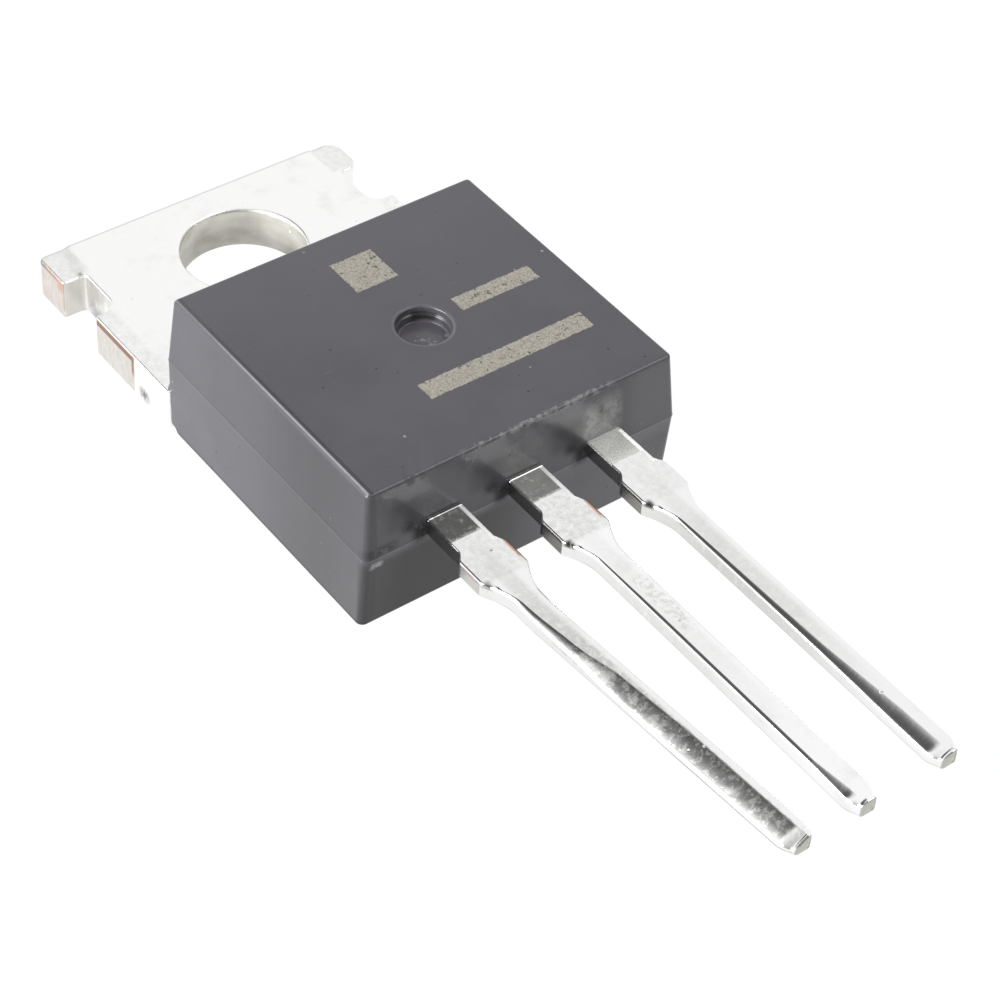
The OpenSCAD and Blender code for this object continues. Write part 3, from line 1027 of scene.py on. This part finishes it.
    def build(self, finish: Tin) -> bpy.types.Object:
        """Makes the lead's closed skin.

        Args:
            finish: Finish of the leads.

        Returns:
            The object.
        """
        start = self.front + (2.95 if self.post else 2.2)
        y = np.concatenate([
            [start], np.linspace(start - 0.02, self.front + 0.02, 40),
            np.linspace(self.front, self.front - 0.1, 18)[:-1],
            np.linspace(self.front - 0.1, self.tip_y + 0.03, 340),
        ])
        rings = self.section(y)
        end = rings[-1].copy()
        centre = end.mean(axis=0)
        end = centre + (end - centre) * [0.86, 1.0, 0.9]
        end[:, 1] = self.tip_y + 0.002
        shell = skin(np.concatenate([rings, end[None]]))
        piece = add_piece(self.name, [shell], finish.material(), self.node)
        place = shell[0] - self.middle(shell[0][:, 1])[:, None] * [1.0, 0.0, 0.0]
        piece.data.attributes.new("lead_place", "FLOAT_VECTOR", "POINT").data.foreach_set("vector", place.ravel())
        return piece


# Studio


@dataclass
class Studio:
    """White floor, soft surroundings with one dark flag, a key light and the camera."""

    azimuth: float = -38.923
    elevation: float = 43.828
    roll: float = 3.784
    focal: float = 2794.44
    centre_px: tuple[float, float] = (451.15, 485.17)
    eye: tuple[float, float, float] = (-33.579, -51.552, 51.37)
    sensor: float = 36.0
    image: float = 1000.0
    flag: tuple[float, float, float] = (-0.32, 0.56, 0.765)
    window: tuple[float, float, float] = (-0.80, 0.50, 0.32)

    def camera(self) -> bpy.types.Object:
        """Camera at the photograph's angle, place, focal length and framing."""
        a, e, r = (math.radians(v) for v in (self.azimuth, self.elevation, self.roll))
        back = Vector((math.sin(a) * math.cos(e), -math.cos(a) * math.cos(e), math.sin(e)))
        right = Vector((0.0, 0.0, 1.0)).cross(back).normalized()
        up = back.cross(right)
        right, up = math.cos(r) * right + math.sin(r) * up, math.cos(r) * up - math.sin(r) * right
        data = bpy.data.cameras.new("camera")
        data.sensor_width = self.sensor
        data.lens = self.focal * self.sensor / self.image
        data.shift_x = 0.5 - self.centre_px[0] / self.image
        data.shift_y = self.centre_px[1] / self.image - 0.5
        data.clip_start = 0.005
        data.clip_end = 20.0
        camera = bpy.data.objects.new("camera", data)
        camera.matrix_world = Matrix.Translation(Vector(self.eye) * MM) @ Matrix((right, up, back)).transposed().to_4x4()
        bpy.context.scene.collection.objects.link(camera)
        bpy.context.scene.camera = camera
        return camera

    def floor(self) -> bpy.types.Object:
        """Plain white floor that shines a little, and lets views from below through."""
        net, material = Network.of_material("white_floor")
        haze = net.noise(net.place(), 0.02, 2.0)
        paper = net.node("ShaderNodeBsdfPrincipled", {}, {
            "Base Color": net.tint(haze, (0.030, 0.030, 0.030, 1.0), (0.026, 0.026, 0.027, 1.0)),
            "Roughness": 0.9,
            "Specular IOR Level": 0.1,
            "Emission Color": (1.0, 1.0, 1.0, 1.0),
            "Emission Strength": 0.98,
        })
        clear = net.node("ShaderNodeBsdfTransparent", {}, {})
        below = net.node("ShaderNodeNewGeometry", {}, {}).outputs["Backfacing"]
        mixed = net.node("ShaderNodeMixShader", {}, {0: below, 1: paper.outputs[0], 2: clear.outputs[0]})
        net.node("ShaderNodeOutputMaterial", {}, {"Surface": mixed.outputs[0]})
        reach = np.linspace(-1.5, 1.5, 9)
        grid = np.stack(np.meshgrid(reach, reach, [-0.00001]), axis=-1).reshape(-1, 3)
        index = np.arange(81).reshape(9, 9)
        quads = np.stack([index[:-1, :-1], index[:-1, 1:], index[1:, 1:], index[1:, :-1]], axis=-1)
        mesh = bpy.data.meshes.new("floor")
        mesh.from_pydata(grid.tolist(), [], quads.reshape(-1, 4).tolist())
        mesh.materials.append(material)
        floor = bpy.data.objects.new("floor", mesh)
        bpy.context.scene.collection.objects.link(floor)
        return floor

    def surroundings(self) -> None:
        """World by direction: white, dimmer in front, with a dark flag at the back left."""
        world = bpy.data.worlds.new("studio")
        world.use_nodes = True
        bpy.context.scene.world = world
        net = Network(world.node_tree)
        there = net.node("ShaderNodeTexCoord", {}, {}).outputs["Generated"]
        towards = net.node("ShaderNodeVectorMath", {"operation": "NORMALIZE"}, {0: there}).outputs[0]
        x, y, z = net.axes(towards)
        flag = Vector(self.flag).normalized()
        near = x * flag[0] + y * flag[1] + z * flag[2]
        dark = near.ease(math.cos(math.radians(31.0)), math.cos(math.radians(9.0)))
        front = (0.0 - y).ease(-0.1, 0.55)
        bright = Vector(self.window).normalized()
        glow = (x * bright[0] + y * bright[1] + z * bright[2]).ease(math.cos(math.radians(45.0)), 0.94)
        level = (glow * 0.245 + 0.755 - front * 0.53) * (1.0 - dark * 0.97)
        colour = net.tint(level, (0.0, 0.0, 0.0, 1.0), (1.0, 1.0, 1.0, 1.0))
        shade = net.node("ShaderNodeBackground", {}, {"Color": colour, "Strength": 1.35})
        net.node("ShaderNodeOutputWorld", {}, {"Surface": shade.outputs[0]})

    def lamp(self, name: str, towards: tuple[float, float, float], size: float, power: float) -> bpy.types.Object:
        """Round area lamp that shines at the object from a direction.

        Args:
            name: Name of the lamp.
            towards: Direction from the object to the lamp.
            size: Diameter in metres.
            power: Power in watts.

        Returns:
            The lamp.
        """
        data = bpy.data.lights.new(name, "AREA")
        data.shape = "DISK"
        data.size = size
        data.energy = power
        lamp = bpy.data.objects.new(name, data)
        way = Vector(towards).normalized()
        lamp.matrix_world = Matrix.Translation(way * 0.3) @ way.to_track_quat("Z", "Y").to_matrix().to_4x4()
        bpy.context.scene.collection.objects.link(lamp)
        return lamp

    def build(self) -> None:
        """Sets up camera, floor, surroundings, lamps and the plain view of colours."""
        self.camera()
        self.floor()
        self.surroundings()
        self.lamp("key", (-0.95, 0.04, 0.30), 0.24, 2.6)
        self.lamp("front", (0.46, -0.56, 0.69), 0.22, 0.4)
        bpy.context.scene.view_settings.view_transform = "Standard"


COPPER = (0.27, 0.16, 0.12, 1.0)
BRIGHT_COPPER = (0.52, 0.31, 0.22, 1.0)
ROSE = (0.57, 0.51, 0.465, 1.0)
CREAM = (0.57, 0.54, 0.50, 1.0)
GREY_TIN = (0.55, 0.55, 0.53, 1.0)
# Painted shade for the walls of the tab's notch.
PAINTED_NOTCH_SHADE = (0.56, 0.56, 0.49, 1.0)
# Cut face at the dam bar, darkened as painted shade.
SHEAR_AND_PAINTED_SHADE = (0.085, 0.075, 0.062, 1.0)
# Painted shade on the leads.
PAINTED_SHADE = (0.03, 0.03, 0.033, 1.0)
END_TIN = (0.42, 0.42, 0.37, 1.0)
# Painted highlight on the leads.
PAINTED_HIGHLIGHT_TIN = (0.97, 0.97, 0.96, 1.0)
# Painted shade, for shadows, dark reflections and contact shade on the moulding.
PAINTED_SHADE_BLACK = (0.014, 0.014, 0.016, 1.0)
# Painted shade for the darkest spots on the front wall.
PAINTED_SHADE_SPOT = (0.004, 0.004, 0.005, 1.0)
FLASH = (0.33, 0.33, 0.34, 1.0)


def body_patches(body: MouldedBody) -> tuple[Patch, ...]:
    """Painted shade, highlights and reflections on the moulding, and one chip of flash."""
    front, top, half = body.front, body.top, body.half_w
    wall = (front - 0.2, front + 0.3)
    edge = half - math.tan(math.radians(body.draft_above)) * (top - body.parting) - body.top_round
    patches = [
        # Painted shade: the left wall darker towards the front.
        Patch((-half - 0.2, front - 0.2, -0.1), (-half + 0.4, -8.5, top - 0.1), (0.026, 0.026, 0.029, 1.0),
              0.95, coat=-0.16, soft=(0.03, 3.5, 0.03)),
        # Painted shade: the front wall below the parting line darker, fading out towards the right.
        Patch((-half - 0.2, wall[0], -0.1), (0.0, wall[1], 2.2), (0.016, 0.015, 0.017, 1.0), 0.95, coat=-0.3,
              soft=(1.6, 0.05, 0.15)),
        # Painted light: the right end of the front wall lighter.
        Patch((3.4, wall[0], 2.0), (half + 0.1, wall[1], top - 0.1), (0.07, 0.068, 0.076, 1.0), 0.8, coat=0.1,
              soft=(0.4, 0.05, 0.2)),
        # Painted reflection of the output lead: a lighter, broken patch on the front wall above it.
        Patch((1.95, wall[0], 3.0), (3.1, wall[1], 4.0), (0.19, 0.19, 0.18, 1.0), 0.9, coat=0.1,
              soft=(0.15, 0.05, 0.25), gaps=(0.2, 0.75)),
        # Painted reflection of the middle lead: a fainter lighter patch on the front wall above it.
        Patch((-0.5, wall[0], 3.3), (0.6, wall[1], 4.2), (0.08, 0.08, 0.08, 1.0), 0.6,
              soft=(0.15, 0.05, 0.2), gaps=(0.35, 0.6)),
        # Painted glints: a broken lighter, rougher line along the nibbled front top edge.
        Patch((-1.9, front + 0.2, top - 0.13), (2.7, front + 0.33, top + 0.1), (0.16, 0.16, 0.165, 1.0), 0.8, 0.2, -0.2,
              (0.4, 0.03, 0.05), (0.47, 0.56)),
        Patch((-4.74, wall[0], 2.05), (-4.44, wall[1], 2.22), FLASH, 0.85, 0.2, -0.2, (0.12, 0.05, 0.07), (0.3, 0.55)),
        # Painted shadow: a dark band on the wall above the flash chip.
        Patch((-4.9, wall[0], 2.42), (-4.0, wall[1], 2.7), PAINTED_SHADE_BLACK, 0.8, coat=-0.34, soft=(0.15, 0.05, 0.08),
              gaps=(0.35, 0.5)),
        # Painted dark reflection: a dark line on the top face inside the left top edge.
        Patch((-edge + 0.01, front, top - 0.05), (-edge + 0.1, 0.0, top + 0.1), PAINTED_SHADE_BLACK, 0.6, coat=-0.3),
        # Painted highlight: a light line along the left top edge.
        Patch((-edge - 0.062, front + 0.3, top - 0.14), (-edge - 0.008, 0.0, top + 0.1), (0.24, 0.24, 0.245, 1.0), 0.75,
              gaps=(0.05, 0.5)),
        # Painted contact shade: a dark line along the bottom of the left wall.
        Patch((-half - 0.2, front - 0.2, -0.1), (-half + 0.3, 0.0, 0.1), PAINTED_SHADE_BLACK, 0.7, coat=-0.3,
              soft=(0.05, 0.05, 0.05)),
        # Painted light: the top face lighter towards the rear.
        Patch((-half, -6.0, top - 0.1), (half, -3.0, top + 0.1), (0.06, 0.058, 0.066, 1.0), 0.7,
              soft=(0.1, 2.5, 0.05)),
        # Painted light: the floor of the ejector recess lighter.
        Patch((-1.0, body.mark_at[1] - 0.62, 3.9), (1.0, body.mark_at[1] + 0.62, 4.02), (0.084, 0.080, 0.094, 1.0),
              0.9, soft=(0.05, 0.05, 0.03)),
        # Painted highlights: broken light arcs on the wall of the ejector recess.
        Patch((-0.5, body.mark_at[1] - 0.6, 3.9), (0.8, body.mark_at[1] + 0.2, 4.02), (0.24, 0.24, 0.25, 1.0),
              0.8, soft=(0.1, 0.1, 0.03), gaps=(0.57, 0.63)),
        # Painted shade: a dark patch on the rear upper wall of the ejector recess.
        Patch((0.22, body.mark_at[1] + 0.32, 4.05), (0.78, body.mark_at[1] + 0.9, 4.25), PAINTED_SHADE_BLACK, 1.0, 0.3, -0.34,
              soft=(0.06, 0.06, 0.04)),
    ]
    # Painted shade and dark reflection on the front wall left of each lead root: two dark spots and a dimmer dip above.
    for x, depth in ((-2.54, 0.75), (0.0, 0.85), (2.54, 1.0)):
        patches += [
            Patch((x - 0.95, wall[0], 2.3), (x - 0.5, wall[1], 2.85), PAINTED_SHADE_SPOT, 1.0, 0.3, -0.34,
                  soft=(0.18, 0.05, 0.18), gaps=(0.25, 0.5)),
            Patch((x - 1.25, wall[0], 2.75), (x - 0.85, wall[1], 3.1), PAINTED_SHADE_SPOT, 0.9, 0.3, -0.34,
                  soft=(0.18, 0.05, 0.16), gaps=(0.25, 0.5)),
            Patch((x - 1.7, wall[0], 2.95), (x - 0.75, wall[1], 3.75), (0.02, 0.02, 0.022, 1.0), 0.75 * depth,
                  coat=-0.2, soft=(0.25, 0.05, 0.2)),
        ]
    return tuple(patches)


def tab_patches(tab: TabPlate) -> tuple[Patch, ...]:
    """Worked places of the tab and painted shade in its left notch: those at negative X are on the left, the others on
    both sides.
    """
    half, end, top = tab.half, tab.end, tab.thick
    ear = end - tab.ear_len
    step = ear - tab.notch_len
    tie = step - 2.0
    face = (half - 0.03, half + 0.2)
    return (
        # Painted shade with vertical streaks on the walls of the left notch.
        Patch((-half - 0.1, step - 0.1, -0.1), (-half + 0.78, ear + 0.03, top - 0.07), PAINTED_NOTCH_SHADE, 0.6,
              soft=(0.02, 0.05, 0.03), gaps=(0.2, 0.8)),
        # Painted shade: a bluish-grey band low in the left notch.
        Patch((-half - 0.1, ear - 1.0, -0.1), (-half + 0.8, ear - 0.3, 0.45), (0.2, 0.2, 0.23, 1.0), 0.6,
              soft=(0.05, 0.25, 0.2)),
        Patch((face[0], ear, -0.1), (face[1], end + 0.1, top - 0.05), ROSE, 1.0, 0.1, gaps=(-0.2, 0.75)),
        Patch((face[0], tie, -0.1), (face[1], step, top - 0.05), CREAM, 1.0, 0.1, gaps=(-0.2, 0.75)),
        Patch((-half + 0.04, ear - 0.04, -0.1), (-half + 0.7, ear + 0.04, top - 0.1), CREAM, 0.7, 0.1),
        Patch((face[0], ear + 0.02, top - 0.2), (face[1], end - 0.08, top - 0.06), COPPER, 0.9, 0.1,
              soft=(0.02, 0.08, 0.03)),
        Patch((face[0], end - 0.45, top - 0.18), (face[1], end + 0.1, top - 0.04), (0.10, 0.085, 0.08, 1.0), 0.8,
              0.1, soft=(0.02, 0.3, 0.03)),
        Patch((face[0], ear - 0.04, top - 0.45), (face[1], ear + 0.36, top - 0.06), BRIGHT_COPPER, 0.75, 0.1,
              soft=(0.02, 0.2, 0.15), gaps=(0.1, 0.4)),
        Patch((face[0], ear - 0.04, 0.2), (face[1], ear + 0.05, top - 0.05), COPPER, 0.7, 0.1,
              soft=(0.02, 0.03, 0.1)),
        Patch((face[0], tie, top - 0.26), (face[1], step - 0.02, top - 0.07), COPPER, 1.0, 0.1,
              soft=(0.02, 0.05, 0.03)),
        Patch((face[0], tie, 0.55), (face[1], tie + 0.13, top - 0.05), COPPER, 0.9, 0.1, soft=(0.02, 0.04, 0.2)),
        Patch((half - 0.1, tie - 0.7, 0.1), (half + 0.2, tie - 0.3, 0.45), (0.17, 0.145, 0.145, 1.0), 0.9, 0.1,
              soft=(0.05, 0.16, 0.14), gaps=(0.3, 0.55)),
        Patch((half - 0.9, ear + 0.05, top - 0.2), (half + 0.1, end + 0.1, top + 0.1), GREY_TIN, 0.4, 0.08,
              soft=(0.06, 0.08, 0.03), gaps=(0.1, 0.8)),
        Patch((half - 0.55, tie - 2.0, top - 0.05), (half - 0.05, step, top + 0.1), GREY_TIN, 0.3,
              soft=(0.1, 0.1, 0.02), gaps=(0.3, 0.7)),
        Patch((-1.0, end - 0.09, top - 0.15), (half + 0.1, end + 0.1, top + 0.1), GREY_TIN, 0.6, soft=(0.02, 0.02, 0.03)),
    )


@dataclass(frozen=True)
class LeadLook:
    """How far one lead's tin differs from clean tin, place by place, painted light and shade included."""

    tone: float
    painted_reflection: Colour
    dull: float
    cut_face_and_shade: Colour
    top: float
    side: float
    copper: float
    dent_shade: float
    mottled: float
    scuffed: float = 0.0
    waved: float = 0.0

    def patches(self, lead: Lead) -> tuple[Patch, ...]:
        """Worked places and painted light and shade in the lead's own frame, where X is 0 on its middle line."""
        front, low, level = lead.front, lead.low, lead.low + lead.thick
        root, dam, narrow = lead.root, lead.dam, lead.narrow
        return (
            # Painted reflection of the front wall on the top of the root: darker, duller tin.
            Patch((-1.0, front - 0.96, level - 0.06), (1.0, front + 0.1, level + 0.1), self.painted_reflection, 1.0, self.dull,
                  soft=(0.02, 0.03, 0.02), gaps=(0.2, 0.5)),
            Patch((-1.0, front - 2.6, level - 0.04), (1.0, front - 0.98, level + 0.1), GREY_TIN, self.mottled,
                  soft=(0.02, 0.1, 0.01), gaps=(0.2, 0.8)),
            # Painted shade on the left side of the root.
            Patch((-1.0, front - 1.4, 0.0), (-root + 0.04, front + 0.1, level - 0.05), PAINTED_SHADE, 0.8, 0.2,
                  soft=(0.02, 0.03, 0.02)),
            # Left side where the dam bar was cut; for the middle and output leads darkened as painted dark reflection.
            Patch((-dam - 0.1, front - 2.43, 0.0), (-dam + 0.02, front - 1.4, level - 0.05), self.cut_face_and_shade, 1.0, 0.15,
                  soft=(0.02, 0.02, 0.02), gaps=(0.1, 0.35)),
            # Painted highlight: a white, rougher line along the right top edge of the root.
            Patch((root - 0.14, front - 1.45, level - 0.1), (root + 0.05, front - 0.02, level + 0.1), PAINTED_HIGHLIGHT_TIN, 1.0,
                  0.5, gaps=(0.15, 0.3)),
            # Painted shade on the dent at the shoulder's top left edge.
            Patch((-dam - 0.05, front - 2.72, level - 0.14), (-dam + 0.2, front - 2.47, level + 0.1), PAINTED_SHADE,
                  self.dent_shade, 0.1, soft=(0.07, 0.08, 0.04), gaps=(0.25, 0.45)),
            Patch((-dam - 0.1, front - 2.35, level - 0.14), (-dam + 0.05, front - 1.7, level - 0.07), BRIGHT_COPPER,
                  0.85 * self.scuffed, 0.1, gaps=(0.2, 0.5)),
            # Painted shade: the left side of the narrow part greyer.
            Patch((-1.0, front - 9.0, low - 0.1), (-narrow + 0.03, front - 2.5, level - 0.1), GREY_TIN, self.side,
                  soft=(0.02, 3.0, 0.03), gaps=(0.1, 0.5)),
            Patch((-0.3, front - 9.0, level - 0.03), (0.16, front - 2.4, level + 0.1), GREY_TIN, self.top,
                  soft=(0.1, 2.4, 0.01), gaps=(0.1, 0.6)),
            Patch((-0.15, front - 6.4, level - 0.03), (0.24, front - 4.4, level + 0.1), GREY_TIN, self.waved,
                  soft=(0.05, 0.1, 0.01), gaps=(0.5, 0.55)),
            Patch((dam - 0.13, front - 2.25, level - 0.3), (dam + 0.05, front - 1.5, level + 0.05), BRIGHT_COPPER,
                  self.copper, 0.15, soft=(0.02, 0.1, 0.02), gaps=(0.2, 0.35)),
            Patch((-narrow - 0.1, lead.tip_y, low + 0.2), (0.15, front - 5.0, level + 0.1), GREY_TIN, self.scuffed,
                  0.22, soft=(0.03, 0.4, 0.02), gaps=(0.4, 0.62)),
            Patch((-2.0, lead.tip_y - 0.1, 0.0), (2.0, lead.tip_y + 0.035, level), END_TIN, 0.9, 0.2,
                  gaps=(0.1, 0.3)),
            # Painted shade: a grey band along the bottom of the narrow part.
            Patch((-1.0, lead.tip_y, low - 0.1), (1.0, front - 3.0, low + 0.09), GREY_TIN, 0.5,
                  soft=(0.02, 0.3, 0.03)),
        )


def dress_inner_nodes() -> None:
    """Gives every CAD node that stays its finish."""
    silicon = InnerFinish("silicon", (0.16, 0.17, 0.20, 1.0), (0.24, 0.25, 0.29, 1.0), 0.6, 0.2)
    solder = InnerFinish("solder", (0.46, 0.46, 0.47, 1.0), (0.34, 0.34, 0.36, 1.0), 1.0, 0.45)
    wire = InnerFinish("drawn_wire", (0.80, 0.80, 0.81, 1.0), (0.66, 0.66, 0.68, 1.0), 1.0, 0.3, (0.3, 3.0, 3.0))
    finishes = {"regulator_chip": silicon, "chip_solder": solder}
    wires = ("input_bond_wire", "output_bond_wire", "sense_bond_wire", "ground_bond_wire")
    finishes.update({name: wire for name in wires})
    for name, finish in finishes.items():
        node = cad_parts[name]
        material = finish.material()
        for index in range(max(1, len(node.data.materials))):
            if index < len(node.data.materials):
                node.data.materials[index] = material
            else:
                node.data.materials.append(material)
        LOG.info("%s: dressed as %s", name, finish.name)


def main() -> None:
    """Builds the pieces in order, then the studio."""
    logging.basicConfig(level=logging.INFO, format="%(message)s")
    body = MouldedBody()
    body.build(Moulding(patches=body_patches(body)))
    tab = TabPlate()
    tab.build(Tin("tab_tin", (0.92, 0.92, 0.915, 1.0), (0.80, 0.80, 0.79, 1.0), 0.30, 0.5, 0.6, bore=tab.hole_r,
                  folded=True, patches=tab_patches(tab)))
    leads = (
        (Lead("input_lead_metal", "input_lead", -2.54, lean=3.7, post=-0.1,
              edge=((3.0, 0.09), (4.1, 0.16), (5.6, 0.27), (6.6, 0.45), (9.0, 0.56), (12.5, 0.55)),
              tilts=(28.0, 41.0), dent=0.006, seed=31),
         LeadLook(0.86, (0.26, 0.26, 0.25, 1.0), 0.0, GREY_TIN, 0.8, 0.25, 0.95, 0.5, 0.55, scuffed=0.9)),
        (Lead("middle_lead_metal", "tab_lead_frame", 0.0, climbs=True, seed=41),
         LeadLook(0.90, (0.48, 0.48, 0.45, 1.0), 0.0, SHEAR_AND_PAINTED_SHADE, 0.25, 0.5, 0.95, 0.95, 0.75, waved=0.45)),
        (Lead("output_lead_metal", "output_lead", 2.54, post=0.1,
              edge=((3.0, 0.09), (4.1, 0.12), (5.6, 0.15), (7.0, 0.18), (8.6, 0.22), (11.2, 0.42), (12.4, 0.46)),
              tilts=(17.0, 31.0), bead=0.0, seed=51),
         LeadLook(0.86, (0.90, 0.90, 0.85, 1.0), 0.22, SHEAR_AND_PAINTED_SHADE, 0.5, 0.8, 0.0, 0.9, 0.35)),
    )
    for lead, look in leads:
        clean = (look.tone, look.tone, look.tone, 1.0)
        lead.build(Tin(f"{lead.name}_tin", clean, (0.74, 0.75, 0.73, 1.0), 0.055, 0.3, 0.5, 0.97,
                       place="lead_place", patches=look.patches(lead)))
    dress_inner_nodes()
    Studio().build()


if __name__ == "__main__":
    main()
